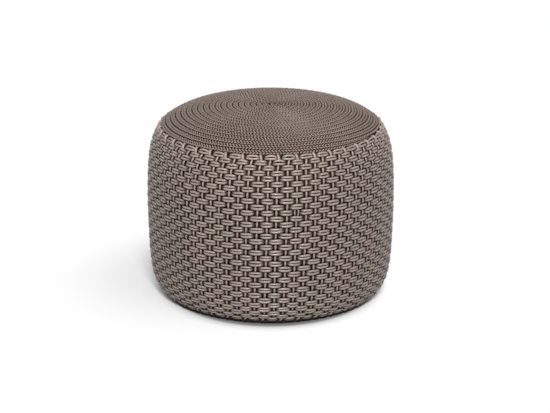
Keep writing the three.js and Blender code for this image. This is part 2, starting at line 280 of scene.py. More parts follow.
def barrel(foot_radius):
    """The outline from a foot of this radius, out to the belly and in again to the rim."""
    height = np.linspace(FOOT_HEIGHT, RIM_HEIGHT, OUTLINE_POINTS)
    upper = height > BELLY_HEIGHT
    reach = np.where(upper, RIM_HEIGHT - BELLY_HEIGHT, BELLY_HEIGHT - FOOT_HEIGHT)
    away = np.abs(height - BELLY_HEIGHT) / reach
    slow = np.where(upper, SHOULDER_SLOW, FOOT_SLOW)
    fast = np.where(upper, away**SHOULDER_POWER, away**FOOT_POWER)
    fall = BELLY_RADIUS - np.where(upper, RIM_RADIUS, foot_radius)
    return Line(BELLY_RADIUS - fall * (slow * away**2 + (1 - slow) * fast), height)


rib_line = barrel(FOOT_RADIUS)
side_line = barrel(WEAVE_FOOT_RADIUS)
SIDE_LENGTH = side_line.length

# Frame inside the weave: eight ribs of flat bar, a belly hoop and a rim hoop of round tube, and a cross
# of bar with a hub under the board. All aluminium, welded, powder-coated brown.
RIB_COUNT = 8
RIB_WIDTH = 20 * MM
RIB_THICKNESS = 5 * MM
RIB_EDGE = 0.8 * MM
RIB_STEPS = 40
RIB_SHARP_EDGE = 30
RIM_TUBE = 11 * MM
BELLY_TUBE = 6 * MM
TUBE_SIDES = 24
HOOP_FACETS = 192
SPOKE_COUNT = 4

# The weave that the ribs lie against: its thickness, and how far in its inside lies where it is flat
# from one stake to the next
WEAVE_THICKNESS = 16 * MM
FLATS_SHARE = 0.99927

frame_coat = powder_coat("aluminium_powder_coated_brown", "443529", "54433a")


def coat(node, material):
    """Gives its finish to a solid that is shown as it is."""
    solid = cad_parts[node]
    solid.data.materials.clear()
    solid.data.materials.append(material)


for node, tube_radius in (("rim_hoop", RIM_TUBE), ("belly_hoop", BELLY_TUBE)):
    low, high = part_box(node)
    radius = high[0] - (high[2] - low[2]) / 2
    height = (high[2] + low[2]) / 2
    angles = np.arange(TUBE_SIDES) * FULL_TURN / TUBE_SIDES
    section = np.stack([radius + tube_radius * np.cos(angles), height + tube_radius * np.sin(angles)], -1)
    hoop = turned(f"{node}_tube", section, HOOP_FACETS, closed=True)
    show(hoop, frame_coat, "frame_powder_coat", node)

# A rib's outer and inner face
rib_faces = []
for depth in (0, RIB_THICKNESS):
    rib_far = np.linspace(0, rib_line.length, RIB_STEPS)
    radius, height = rib_line.at(rib_far, WEAVE_THICKNESS + CLEARANCE + depth)
    radius = np.sqrt((radius * FLATS_SHARE) ** 2 - (RIB_WIDTH / 2) ** 2)
    rib_faces.append((np.append(radius[0], radius), np.append(FOOT_HEIGHT, height)))
(outer_r, outer_z), (inner_r, inner_z) = rib_faces
middle_r, middle_z = (outer_r + inner_r) / 2, (outer_z + inner_z) / 2
away_r, away_z = (outer_r - inner_r) / 2, (outer_z - inner_z) / 2
half_thick = np.hypot(away_r, away_z)

# Each corner of the bar is a small bevel, made of two points
corners = []
for side, face in ((-1, -1), (-1, 1), (1, 1), (1, -1)):
    for first in (0, 1):
        narrow, thin = (RIB_EDGE, 0) if first == (side == face) else (0, RIB_EDGE)
        part = face * (half_thick - thin) / half_thick
        across = np.full_like(middle_r, side * (RIB_WIDTH / 2 - narrow))
        corners.append(np.stack([middle_r + away_r * part, across, middle_z + away_z * part], -1))
rib_rings = np.stack(corners, axis=1)
rings, sides = rib_rings.shape[:2]
rib_skin = []
for ring in range(rings - 1):
    here, there = ring * sides, (ring + 1) * sides
    for side in range(sides):
        after = (side + 1) % sides
        rib_skin.append((here + side, here + after, there + after, there + side))
rib_skin.append(tuple(range(sides))[::-1])
rib_skin.append(tuple(range((rings - 1) * sides, rings * sides)))

for number in range(RIB_COUNT):
    rib = mesh_piece(f"rib_bar_{number + 1}", rib_rings.reshape(-1, 3), rib_skin)
    weld(rib, RIB_SHARP_EDGE)
    rib.rotation_euler.z = (number + 0.5) / RIB_COUNT * FULL_TURN
    show(rib, frame_coat, "frame_powder_coat", f"rib_{number + 1}")

coat("hub", frame_coat)
for number in range(SPOKE_COUNT):
    coat(f"spoke_{number + 1}", frame_coat)

# Woven side: resin wicker, round cord of extruded polyethylene. Each of the 32 rows is a pair of cords
# that passes over one upright stake and behind the next, and the next row does the opposite.
STAKES = 82
ROWS = 32
FULL_PITCH = 12.5 * MM
CORD_RADIUS = 2.75 * MM
CORD_SIDES = 8
STEPS_PER_STAKE = 10
PATTERN_APART = 3.0
CREST_DEPTH = 3.1 * MM
DIVE_DEPTH = 8.7 * MM

# Rows close up towards the foot: distances up the side at some rows, in millimetres
ROW_MARKS = ((0, 3.8), (4, 46.4), (9, 106.4), (17, 207.5), (19, 232.8), (24, 297.6), (27, 334), (31, 380.5))

# Stakes start at this angle, lean a little over the whole side, and twist once more at the shoulder
FIRST_STAKE = math.radians(3.4)
STAKE_LEAN = math.radians(2.3)
SHOULDER_LEAN = math.radians(1.15)
SHOULDER_LENGTH = 42 * MM

# A pair lies apart over a stake, closes up as it dives, and rides up and tilts behind the next stake,
# where its cords are pressed wider
PAIR_HALF = 3.35 * MM
PAIR_SQUEEZE = 0.95 * MM
SQUEEZE_HASTE = 1.3
BEATEN_UP = 0.4 * MM
PAIR_TILT = 0.8 * MM
CORD_SPREAD, SPREAD_POWER = 1.1, 1.1

# How long a pair stays in front before it dives: powers at some rows, and more is longer
STAY_MARKS = ((22, 2.3), (28, 2.0), (30, 1.9), (31, 3.2))

# The lowest rows sag and are packed tight, and the lowest and highest are pushed off by the stakes' ends
FOOT_ROWS = 8
FOOT_SAG = 1.3 * MM
FOOT_FILL = 0.14
BOTTOM_LIFT = 2.2 * MM
BOTTOM_SHIFT = 3 * MM
TOP_LIFT = 0.5 * MM

# One stake was pieced: for a short way two thinner ends lie side by side, and the pair dives sooner
SPLICED_STAKE, SPLICED_ROW = 63, 21
SPLICE_SHIFT = 4.4 * MM
SPLICE_DIVE = 1.2

# Loose places: row, stake, and how far its upper and its lower cord stand off
LOOSE = ((31, 62, 0.6 * MM, -0.5 * MM), (30, 61, 1.3 * MM, 0.1 * MM), (24, 50, 0.9 * MM, 0.2 * MM))
LOOSE_REACH = 0.5

# Hand weaving is never quite even: stakes wander sideways, and cords up and down and in and out.
# Each is a sum of waves: how many, and the fewest and most that go once round
STAKE_WAVES = (12, 9, 38)
LIFT_WAVES = (10, 5, 60)
PUSH_WAVES = (8, 10, 60)
STAKE_WANDER = 0.7 * MM
CORD_WANDER = 0.2 * MM
WANDER_DRIFT = 18
chance = np.random.default_rng(41)


def waver(count, low, high, size):
    """A smooth random wave round the barrel of the given size, with low to high waves a turn."""
    waves = chance.integers(low, high, count)
    starts = chance.uniform(0, FULL_TURN, count)
    drifts = chance.uniform(-WANDER_DRIFT, WANDER_DRIFT, count)
    sizes = chance.uniform(0.5, 1, count)
    sizes *= size / math.sqrt((sizes**2).sum() / 2)

    def value(stake, far=0.0):
        turn = np.asarray(stake)[..., None] / STAKES * FULL_TURN
        return (sizes * np.sin(waves * turn + starts + drifts * np.asarray(far)[..., None])).sum(-1)

    return value


stake_wander = waver(*STAKE_WAVES, STAKE_WANDER / BELLY_RADIUS)


def shoulder(far):
    """0 up to the shoulder, then smoothly to 1 at the rim."""
    part = np.clip((far - SIDE_LENGTH + SHOULDER_LENGTH) / SHOULDER_LENGTH, 0, 1)
    return part**2 * (3 - 2 * part)


def row_far(row):
    """Distance of a row up the side."""
    rows, distances = zip(*ROW_MARKS)
    return np.interp(row, rows, np.array(distances) * MM)


def snug(row):
    """The room that a row has, as a share of a full pitch."""
    near = np.clip(row, 0.5, ROWS - 1.5)
    return min(1.0, float(row_far(near + 0.5) - row_far(near - 0.5)) / FULL_PITCH)


def stake_angle(stake, far):
    """Angle of a stake round the barrel at a distance up the side."""
    lean = STAKE_LEAN * far / SIDE_LENGTH + SHOULDER_LEAN * shoulder(far)
    return FIRST_STAKE + stake / STAKES * FULL_TURN + lean + stake_wander(stake, far)


def around(radius, height, angle):
    """Points in space from radii, heights and angles."""
    parts = radius * np.cos(angle), radius * np.sin(angle), height
    return np.stack(np.broadcast_arrays(*parts), axis=-1)


def tube(path, out, wide, high, sides, depth):
    """A cord along a path: its rings of points, how far along each lies, its girth, and its depths."""
    along = np.gradient(path, axis=0)
    along /= np.linalg.norm(along, axis=1, keepdims=True)
    across = np.cross(along, out)
    across /= np.linalg.norm(across, axis=1, keepdims=True)
    up = np.cross(across, along)
    turn = -math.pi / 2 + np.arange(sides) * FULL_TURN / sides
    wide, high = np.broadcast_to(wide, len(path)), np.broadcast_to(high, len(path))
    rings = (
        path[:, None]
        + across[:, None] * (wide[:, None] * np.cos(turn))[..., None]
        + up[:, None] * (high[:, None] * np.sin(turn))[..., None]
    )
    far = np.concatenate([[0], np.cumsum(np.linalg.norm(np.diff(path, axis=0), axis=1))])
    under = depth[:, None] - high[:, None] * np.sin(turn)
    return rings, far, float(np.mean(wide + high)) * math.pi, under


def cord_piece(name, tubes):
    """One closed mesh from several cords, with places along and around each, and its depth in the
    weave, which sets their painted shade. The pattern of each cord starts 3 m on from the one before."""
    points, faces, runs, ends, depths = [], [], [], [], []
    start = 0
    for number, (rings, far, girth, under) in enumerate(tubes):
        count, sides = rings.shape[:2]
        ring, side = np.meshgrid(np.arange(count - 1), np.arange(sides), indexing="ij")
        after = (side + 1) % sides
        here, there = ring * sides, (ring + 1) * sides
        quads = np.stack([here + side, there + side, there + after, here + after], -1)
        faces.append(quads.reshape(-1, 4) + start)
        along = far + number * PATTERN_APART
        before, behind = along[ring], along[ring + 1]
        low, top = side / sides * girth, (side + 1) / sides * girth
        runs.append(np.stack([before, low, behind, low, behind, top, before, top], -1).reshape(-1, 2))
        ends.append(tuple(range(start + sides - 1, start - 1, -1)))
        ends.append(tuple(range(start + (count - 1) * sides, start + count * sides)))
        points.append(rings.reshape(-1, 3))
        depths.append(under.ravel())
        start += count * sides
    quads = np.concatenate(faces).tolist()
    end_runs = np.zeros((sum(len(end) for end in ends), 2))
    piece = mesh_piece(name, np.concatenate(points), quads + ends, np.concatenate(runs + [end_runs]))
    layer = piece.data.attributes.new("depth", "FLOAT", "POINT")
    layer.data.foreach_set("value", np.concatenate(depths).astype(np.float32))
    return piece


def weft_path(row, side):
    """One cord of a row's pair, once round the barrel, its ends meeting behind a stake: its points,
    their outward sides, its half width and its depth. Side is -1 for the lower cord, 1 for the upper."""
    stake = row % 2 + np.arange(STAKES * STEPS_PER_STAKE + 1) / STEPS_PER_STAKE
    lift = waver(*LIFT_WAVES, CORD_WANDER)
    push = waver(*PUSH_WAVES, CORD_WANDER)
    rows, powers = zip(*STAY_MARKS)
    stay = np.full_like(stake, np.interp(row, rows, powers))
    if row == SPLICED_ROW:
        stay -= SPLICE_DIVE * np.exp(-((stake - SPLICED_STAKE) ** 4))

    # 0 in front of a stake, 1 behind the next one
    passing = (1 + np.cos(math.pi * (stake + row))) / 2
    hidden = passing**stay
    squeeze = PAIR_SQUEEZE * np.sin(math.pi / 2 * np.clip(passing * SQUEEZE_HASTE, 0, 1)) ** 2

    # A cord is pressed narrower by two thirds of what its row lacks of a full pitch
    near_foot = max(0, 1 - row / FOOT_ROWS)
    press = min(1, (1 + 2 * snug(row)) / 3 + FOOT_FILL * near_foot)

    far = row_far(row) + side * (PAIR_HALF * press - squeeze) + lift(stake) + BEATEN_UP * hidden**2
    far -= FOOT_SAG * near_foot * (1 - passing)
    if row == 0:
        far += BOTTOM_LIFT * hidden
    if row == ROWS - 1 and side > 0:
        far += TOP_LIFT * (1 - passing) ** 2
    for loose_row, loose_stake, upper, lower in LOOSE:
        if row == loose_row:
            near = np.exp(-(((stake - loose_stake) / LOOSE_REACH) ** 2))
            far += (upper if side > 0 else lower) * near

    depth = CREST_DEPTH + DIVE_DEPTH * hidden + push(stake) + side * PAIR_TILT * hidden
    radius, height = side_line.at(far, depth)
    angle = stake_angle(stake, far)
    if row == 0:
        angle -= BOTTOM_SHIFT / FOOT_RADIUS
    out_r, out_z = side_line.outward(far)
    wide = CORD_RADIUS * press * (1 + CORD_SPREAD * hidden**SPREAD_POWER)
    return around(radius, height, angle), around(out_r, out_z, angle), wide, depth


# Resin wicker: polyethylene extruded with a fine lengthwise grain, satin, in a mixed taupe batch. Its
# shade drifts along each cord and its hue over patches of the side. Its depths get painted shade, a
# dark brown that also cuts their shine, and they are rougher.
BATCH_LENGTH, BATCH_WIDTH = 90 * MM, 200 * MM
STREAK_LENGTH, STREAK_WIDTH = 30 * MM, 0.9 * MM
HUE_PATCH = 45 * MM
# Depths where the painted shade starts and is full; where roughness starts to rise and painted shade starts
# to cut the shine, and where each is full; and the painted shade's brown
SHADE_START_DEPTH, SHADE_FULL_DEPTH = 0.3 * MM, 5.0 * MM
SHINY_DEPTH, SHINE_SHADE_DEPTH, ROUGH_DEPTH = 2 * MM, 6 * MM, 8 * MM
SHADE_BROWN = (1.4, 0.9, 0.7)

# Sockets of a Mix node that blends colours
COLOUR_A, COLOUR_B, COLOUR_OUT = 6, 7, 2


def cells(tree, run, along, across):
    """Places along and around a cord, scaled to cells of these two lengths."""
    scale = (1 / along, 1 / across, 1.0)
    return add(tree, "ShaderNodeVectorMath", {0: run, 1: scale}, operation="MULTIPLY").outputs[0]


def painted_depth_shade(tree, colour, shade_start, shade_full, darkest):
    """The colour darkened by painted shade that grows with depth in a weave, from where it starts to where
    it is full.
    """
    depth = add(tree, "ShaderNodeAttribute", attribute_name="depth").outputs["Fac"]
    reach = {"Value": depth, "From Min": shade_start, "From Max": shade_full}
    shade_share = add(tree, "ShaderNodeMapRange", reach, interpolation_type="SMOOTHSTEP").outputs[0]
    brown = [darkest * part for part in SHADE_BROWN] + [1]
    shares = {"Factor": shade_share, COLOUR_A: (1, 1, 1, 1), COLOUR_B: brown}
    shade = add(tree, "ShaderNodeMix", shares, data_type="RGBA").outputs[COLOUR_OUT]
    return add(tree, "ShaderNodeVectorMath", {0: colour, 1: shade}, operation="MULTIPLY").outputs[0]


wicker, tree, shader = finish("polyethylene_wicker_taupe", IOR=1.5)
run = add(tree, "ShaderNodeUVMap", uv_map="run").outputs["UV"]
drift = cells(tree, run, BATCH_LENGTH, BATCH_WIDTH)
drift = add(tree, "ShaderNodeTexNoise", {"Vector": drift}, Scale=1.0, Detail=2.0).outputs["Fac"]
batch = add(tree, "ShaderNodeValToRGB", {"Fac": drift}, [(0.32, "9e9087"), (0.68, "ae9d93")])
streak = cells(tree, run, STREAK_LENGTH, STREAK_WIDTH)
streak = add(tree, "ShaderNodeTexNoise", {"Vector": streak}, Scale=1.0, Detail=3.0).outputs["Fac"]
tint = {"Value": streak, "From Min": 0.3, "From Max": 0.7, "To Min": 0.93, "To Max": 1.06}
tint = add(tree, "ShaderNodeMapRange", tint).outputs[0]
streaked = {0: batch.outputs["Color"], 1: tint}
colour = add(tree, "ShaderNodeVectorMath", streaked, operation="MULTIPLY").outputs[0]

place = add(tree, "ShaderNodeTexCoord").outputs["Object"]
patch = add(tree, "ShaderNodeTexNoise", {"Vector": place}, Scale=1 / HUE_PATCH, Detail=1.0).outputs["Fac"]
share = add(tree, "ShaderNodeMapRange", {"Value": patch}, From_Min=0.3, From_Max=0.7).outputs[0]
hues = {"Factor": share, COLOUR_A: (1.04, 0.98, 1.01, 1), COLOUR_B: (0.97, 1.01, 0.975, 1)}
hue = add(tree, "ShaderNodeMix", hues, data_type="RGBA").outputs[COLOUR_OUT]
colour = add(tree, "ShaderNodeVectorMath", {0: colour, 1: hue}, operation="MULTIPLY").outputs[0]
# Painted shade darkens the weave's depths to a dark brown
colour = painted_depth_shade(tree, colour, SHADE_START_DEPTH, SHADE_FULL_DEPTH, 0.06)
tree.links.new(colour, shader.inputs["Base Color"])

# Deeper in the weave the surface is rougher, and painted shade cuts its shine
deep = add(tree, "ShaderNodeAttribute", attribute_name="depth").outputs["Fac"]
worn = {"Value": deep, "From Min": SHINY_DEPTH, "From Max": ROUGH_DEPTH, "To Min": 0.32, "To Max": 0.8}
worn = add(tree, "ShaderNodeMapRange", worn).outputs[0]
tree.links.new(worn, shader.inputs["Roughness"])
shine_shade = {"Value": deep, "From Min": SHINY_DEPTH, "From Max": SHINE_SHADE_DEPTH, "To Min": 0.5, "To Max": 0.1}
shine_shade = add(tree, "ShaderNodeMapRange", shine_shade).outputs[0]
tree.links.new(shine_shade, shader.inputs["Specular IOR Level"])
bump = add(tree, "ShaderNodeBump", {"Height": streak}, Strength=0.25, Distance=0.12 * MM)
tree.links.new(bump.outputs["Normal"], shader.inputs["Normal"])

for row in range(ROWS):
    pair = []
    for side in (-1, 1):
        path, out, wide, depth = weft_path(row, side)
        pair.append(tube(path, out, wide, CORD_RADIUS, CORD_SIDES, depth))
    show(cord_piece(f"weft_row_{row + 1:02d}", pair), wicker, "resin_wicker", "woven_side")

# Stakes: 82 uprights of thinner round wicker. Every second one comes over the top row of weft and tucks
# in under the seat, and every second one turns in under the bottom row.
STAKE_RADIUS = 2.5 * MM
STAKE_SIDES = 8
STAKE_MIDDLE = 6.7 * MM
STAKE_GIVE = 2.3 * MM
STAKE_STEP = 4 * MM
# Stakes take their painted shade from a depth this much less than their own, which paints them lighter
STAKE_LESS_SHADE = 1.6 * MM

# Stakes' ends, in millimetres: distance up the side from the foot, or from the rim, and depth under
# the side's face. Where they are turned in, they also lie over to one side.
UNDER_FOOT = ((-8, 11), (-3.5, 5.2), (0, 2.4), (4, 1.7), (8, 3))
BEHIND_FOOT = ((-1, 11.5), (5, 9.6))
OVER_RIM = ((-15.5, 6.4), (-11, 3), (-6, 1.6), (-2.4, 3.2), (-0.6, 7), (4, 11.2), (12, 13))
BEHIND_RIM = ((-6.4, 9), (3, 11.6), (10, 12.2))
END_LENGTH = 14 * MM
FOOT_END_TOP = 10 * MM
FOOT_END_SHIFT = 6 * MM
RIM_END_SHIFT, RIM_END_MOST = 4.5 * MM, 1.2

# Over the rim the stakes are pressed a little wider
WRAP_RADIUS = 3 * MM
WRAP_START, WRAP_LENGTH = 17 * MM, 6 * MM

# The pieced stake: its two ends are thinner, and lie in front of the hidden weft
SPLICE_THINNER = 0.6 * MM
SPLICE_REACH = 0.8 * FULL_PITCH
SPLICE_HALF_LENGTH = 2.6 * FULL_PITCH
SPLICE_END_DEPTH = 2.4 * MM
SPLICE_STEPS = 27


def spline(points, step):
    """A smooth path through listed points, at about the given step."""
    points = np.asarray(points, dtype=float)
    padded = np.vstack([2 * points[0] - points[1], points, 2 * points[-1] - points[-2]])
    out = []
    for number in range(1, len(padded) - 2):
        a, b, c, d = padded[number - 1 : number + 3]
        count = max(2, round(np.linalg.norm(c - b) / step))
        t = (np.arange(count) / count)[:, None]
        bend = (2 * a - 5 * b + 4 * c - d) * t**2 + (3 * b - a - 3 * c + d) * t**3
        out.append((2 * b + (c - a) * t + bend) / 2)
    out.append(padded[-2:-1])
    return np.vstack(out)


def near_splice(far):
    """1 at the row where the stake was pieced, falling to 0 above and below it."""
    return np.exp(-(((far - row_far(SPLICED_ROW)) / SPLICE_REACH) ** 2))


def stake_tube(far, depth, angle, size):
    """One stake from its places up the side, its depths, its angles and its half widths."""
    radius, height = side_line.at(far, depth)
    out_r, out_z = side_line.outward(far)
    path, out = around(radius, height, angle), around(out_r, out_z, angle)
    # Painted shade from a shallower depth paints the stake lighter
    return tube(path, out, size, size, STAKE_SIDES, depth - STAKE_LESS_SHADE)


stake_tubes = []
for stake in range(STAKES):
    over_rim = stake % 2 == 1
    foot = np.array(BEHIND_FOOT if over_rim else UNDER_FOOT) * MM
    rim = np.array(OVER_RIM if over_rim else BEHIND_RIM) * MM + (SIDE_LENGTH, 0)
    crossings = []
    for row in range(1, ROWS - 1):
        weft_in_front = (row + stake) % 2 == 1
        give = STAKE_GIVE if weft_in_front else -STAKE_GIVE
        crossings.append((row_far(row), STAKE_MIDDLE + give))
    far, depth = spline(np.vstack([foot, crossings, rim]), STAKE_STEP).T
    angle = stake_angle(np.full_like(far, stake), far)
    size = np.full_like(far, STAKE_RADIUS)
    if over_rim:
        turned_in = np.clip((far - SIDE_LENGTH + END_LENGTH) / END_LENGTH, 0, RIM_END_MOST)
        angle -= turned_in * RIM_END_SHIFT / RIM_RADIUS
        wrapped = np.clip((far - SIDE_LENGTH + WRAP_START) / WRAP_LENGTH, 0, 1)
        size += (WRAP_RADIUS - STAKE_RADIUS) * wrapped
    else:
        turned_in = np.clip((FOOT_END_TOP - far) / END_LENGTH, 0, 1)
        angle -= turned_in * FOOT_END_SHIFT / FOOT_RADIUS
    if stake == SPLICED_STAKE:
        angle -= SPLICE_SHIFT / BELLY_RADIUS * near_splice(far)
        size -= SPLICE_THINNER * near_splice(far)
    stake_tubes.append(stake_tube(far, depth, angle, size))

# The new stake laid beside the old one where it was pieced
far = row_far(SPLICED_ROW) + np.linspace(-SPLICE_HALF_LENGTH, SPLICE_HALF_LENGTH, SPLICE_STEPS)
angle = stake_angle(np.full_like(far, SPLICED_STAKE), far) + SPLICE_SHIFT / BELLY_RADIUS * near_splice(far)
depth = STAKE_MIDDLE - STAKE_GIVE + SPLICE_END_DEPTH * (1 - near_splice(far))
stake_tubes.append(stake_tube(far, depth, angle, np.full_like(far, STAKE_RADIUS - SPLICE_THINNER)))
show(cord_piece("stakes", stake_tubes), wicker, "resin_wicker", "woven_side")

# Rim core: one more wicker cord laid along the rim under the seat's edge. The ends of the stakes are
# turned in over it.
CORE_DEPTH = 9.5 * MM
CORE_DROP = 0.5 * MM
CORE_HALF_WIDTH, CORE_HALF_HEIGHT = 3.4 * MM, 3 * MM
CORE_STEPS_PER_STAKE = 4

core_stake = np.arange(STAKES * CORE_STEPS_PER_STAKE + 1) / CORE_STEPS_PER_STAKE
core_far = np.full_like(core_stake, SIDE_LENGTH - CORE_DROP)
core_depth = np.full_like(core_stake, CORE_DEPTH)
radius, height = side_line.at(core_far, core_depth)
out_r, out_z = side_line.outward(core_far)
angle = stake_angle(core_stake, core_far)
path, out = around(radius, height, angle), around(out_r, out_z, angle)
# Its depth puts it wholly in the weave's painted shade
core_tube = tube(path, out, CORE_HALF_WIDTH, CORE_HALF_HEIGHT, STAKE_SIDES, core_depth)
show(cord_piece("rim_core", [core_tube]), wicker, "resin_wicker", "woven_side")

# Seat board: drained polyethylene board under the pad, screwed down to the cross with countersunk
# stainless screws. The solids show as they are.
PEBBLE = 2 * MM
STEEL_MARKS = 0.5 * MM

# Polyethylene sheet: dark grey, matt, with the faint pebbling of the press
sheet, tree, shader = finish("polyethylene_sheet_dark_grey", Roughness=0.6, IOR=1.51)
place = add(tree, "ShaderNodeTexCoord").outputs["Object"]
pebble = add(tree, "ShaderNodeTexNoise", {"Vector": place}, Scale=1 / PEBBLE, Detail=2.0).outputs["Fac"]
grey = add(tree, "ShaderNodeValToRGB", {"Fac": pebble}, [(0, "343331"), (1, "413f3c")])
tree.links.new(grey.outputs["Color"], shader.inputs["Base Color"])
bump = add(tree, "ShaderNodeBump", {"Height": pebble}, Strength=0.2, Distance=0.15 * MM)
tree.links.new(bump.outputs["Normal"], shader.inputs["Normal"])
coat("seat_deck", sheet)

# Stainless steel: cold-formed, with fine turning marks that blur its shine
steel, tree, shader = finish("stainless_steel_cold_formed", Metallic=1.0, Base_Color=linear("b9bbbd"))
place = add(tree, "ShaderNodeTexCoord").outputs["Object"]
marks = add(tree, "ShaderNodeTexNoise", {"Vector": place}, Scale=1 / STEEL_MARKS, Detail=2.0)
rough = add(tree, "ShaderNodeMapRange", {"Value": marks.outputs["Fac"]}, To_Min=0.25, To_Max=0.42)
tree.links.new(rough.outputs[0], shader.inputs["Roughness"])
coat("hub_screw", steel)
for number in range(SPOKE_COUNT):
    coat(f"deck_screw_{number + 1}", steel)

# Coiled seat: one flat plait of three strands of braided cord, wound from the middle outwards in 19
# turns, the turns sewn edge to edge over the foam. Matt polyester in the same taupe.
CROWN_RISE = 44.5 * MM
CROWN_SLOW, CROWN_POWER = 0.33, 6
COIL_TURNS = 19
COIL_THICKNESS = 9 * MM

# The plait starts a quarter turn back. Towards the edge each turn is round for most of its way and
# steps out in its last fifth, and the tail ends in the last of these steps.
COIL_START = -0.25
STEP_OUT = 0.2
TAIL_SHARE = 0.4
LAST_TURN = COIL_TURNS - STEP_OUT * TAIL_SHARE
SPIRAL_POINTS = 40001

# The plait: three strands that cross by turns, lying a little under the crown's face
STRANDS = 3
LOBE_LENGTH = 7.2 * MM
PLAIT_LENGTH = STRANDS * LOBE_LENGTH
PLAIT_SWING = 4.5 * MM
PLAIT_RISE = 2.8 * MM
PLAIT_HOLLOW = 0.4
PLAIT_DEPTH = 0.7 * MM + 1.08 * PLAIT_RISE
PLAIT_STEP = 2.1 * MM
STRAND_HALF_WIDTH = 2.05 * MM
STRAND_HALF_HEIGHT = 1.6 * MM
STRAND_SIDES = 8

# The nose at the start is sewn down small: its length, how soon it swells, its least size, and how
# much less painted shade its face gets, which paints it lighter
NOSE_LENGTH = 9 * MM
NOSE_SWELL = 0.6
NOSE_SHARE = 0.45
NOSE_LEAST = 0.35
NOSE_LESS_SHADE = 1.2 * MM

# Painted shade darkens the seams between the first turns
SEAM_SHADE_DEPTH = 2.2 * MM
SEAM_TURNS = 2


def groove(turns):
    """Seam between one turn and the next, as a distance from the middle. Near the middle it moves out
    evenly, and near the edge in a short step once a turn."""
    whole = np.floor(turns)
    part = turns - whole
    stepped = np.clip(whole / COIL_TURNS, 0, 1)
    late = np.clip((part - 1 + STEP_OUT) / STEP_OUT, 0, 1)
    late = late**2 * (3 - 2 * late)
    return COIL_PITCH * (whole + part + (late - part) * stepped)


def seams(turns):
    """Inner and outer seam of the plait, which ends flush with the crown's edge."""
    return groove(turns), np.minimum(groove(turns + 1), CROWN_LENGTH - CLEARANCE)


def on_crown(far, depth):
    """Radius, height and outward side at a distance from the middle of the crown, to either hand of it,
    and a depth under it."""
    radius, height = crown_line.at(np.abs(far), 0.0)
    down_r, down_z = crown_line.outward(np.abs(far))
    hand = np.where(far < 0, -1.0, 1.0)
    return (radius + down_r * depth) * hand, height + down_z * depth, -down_r * hand, -down_z


crown_radius = np.linspace(0, RIM_RADIUS, OUTLINE_POINTS)
away = crown_radius / RIM_RADIUS
crown_fall = CROWN_SLOW * away**2 + (1 - CROWN_SLOW) * away**CROWN_POWER
crown_line = Line(crown_radius, RIM_HEIGHT + CROWN_RISE * (1 - crown_fall))
CROWN_LENGTH = crown_line.length
COIL_PITCH = (CROWN_LENGTH - CLEARANCE) / COIL_TURNS

# The spiral's turns at even steps along the plait
turns = np.linspace(COIL_START, LAST_TURN, SPIRAL_POINTS)
radius, height, _, _ = on_crown(sum(seams(turns)) / 2, 0.0)
path = around(radius, height, turns * FULL_TURN)
far = np.concatenate([[0], np.cumsum(np.linalg.norm(np.diff(path, axis=0), axis=1))])
even = np.linspace(0, far[-1], int(far[-1] / PLAIT_STEP))
turns = np.interp(even, far, turns)
inner, outer = seams(turns)
middle = (inner + outer) / 2
nose = np.clip(even / NOSE_LENGTH, 0, 1) ** NOSE_SWELL
fit = (outer - inner) / COIL_PITCH * (NOSE_SHARE + (1 - NOSE_SHARE) * nose)

# Braided polyester cord: matt, its yarns laid at a slant 0.9 mm apart. Its shade drifts along the plait.
YARN_WIDTH = 0.9 * MM
YARN_SLANT = math.radians(32)
SHADE_LENGTH, SHADE_WIDTH = 60 * MM, 90 * MM
# Painted shade of the plait's depths: where it starts and where it is full
SEAT_SHADE_START_DEPTH, SEAT_SHADE_FULL_DEPTH = 1.1 * MM, 4.6 * MM

braid, tree, shader = finish("polyester_cord_braided_taupe", Roughness=0.38, IOR=1.5)
run = add(tree, "ShaderNodeUVMap", uv_map="run").outputs["UV"]
drift = cells(tree, run, SHADE_LENGTH, SHADE_WIDTH)
drift = add(tree, "ShaderNodeTexNoise", {"Vector": drift}, Scale=1.0, Detail=3.0).outputs["Fac"]
shade = add(tree, "ShaderNodeValToRGB", {"Fac": drift}, [(0.3, "84756c"), (0.7, "978479")])
slant = add(tree, "ShaderNodeVectorRotate", {"Vector": run}, rotation_type="Z_AXIS", Angle=YARN_SLANT)
waves = {"Vector": slant.outputs[0], "Scale": 1 / YARN_WIDTH / FULL_TURN / 2, "Distortion": 0.6}
yarn = add(tree, "ShaderNodeTexWave", waves, Detail=1.0).outputs["Fac"]
tint = add(tree, "ShaderNodeMapRange", {"Value": yarn}, To_Min=0.86, To_Max=1.06)
yarns = {0: shade.outputs["Color"], 1: tint.outputs[0]}
colour = add(tree, "ShaderNodeVectorMath", yarns, operation="MULTIPLY").outputs[0]
# Painted shade darkens the plait's depths to a dark brown
colour = painted_depth_shade(tree, colour, SEAT_SHADE_START_DEPTH, SEAT_SHADE_FULL_DEPTH, 0.12)
tree.links.new(colour, shader.inputs["Base Color"])
bump = add(tree, "ShaderNodeBump", {"Height": yarn}, Strength=0.4, Distance=0.25 * MM)
tree.links.new(bump.outputs["Normal"], shader.inputs["Normal"])

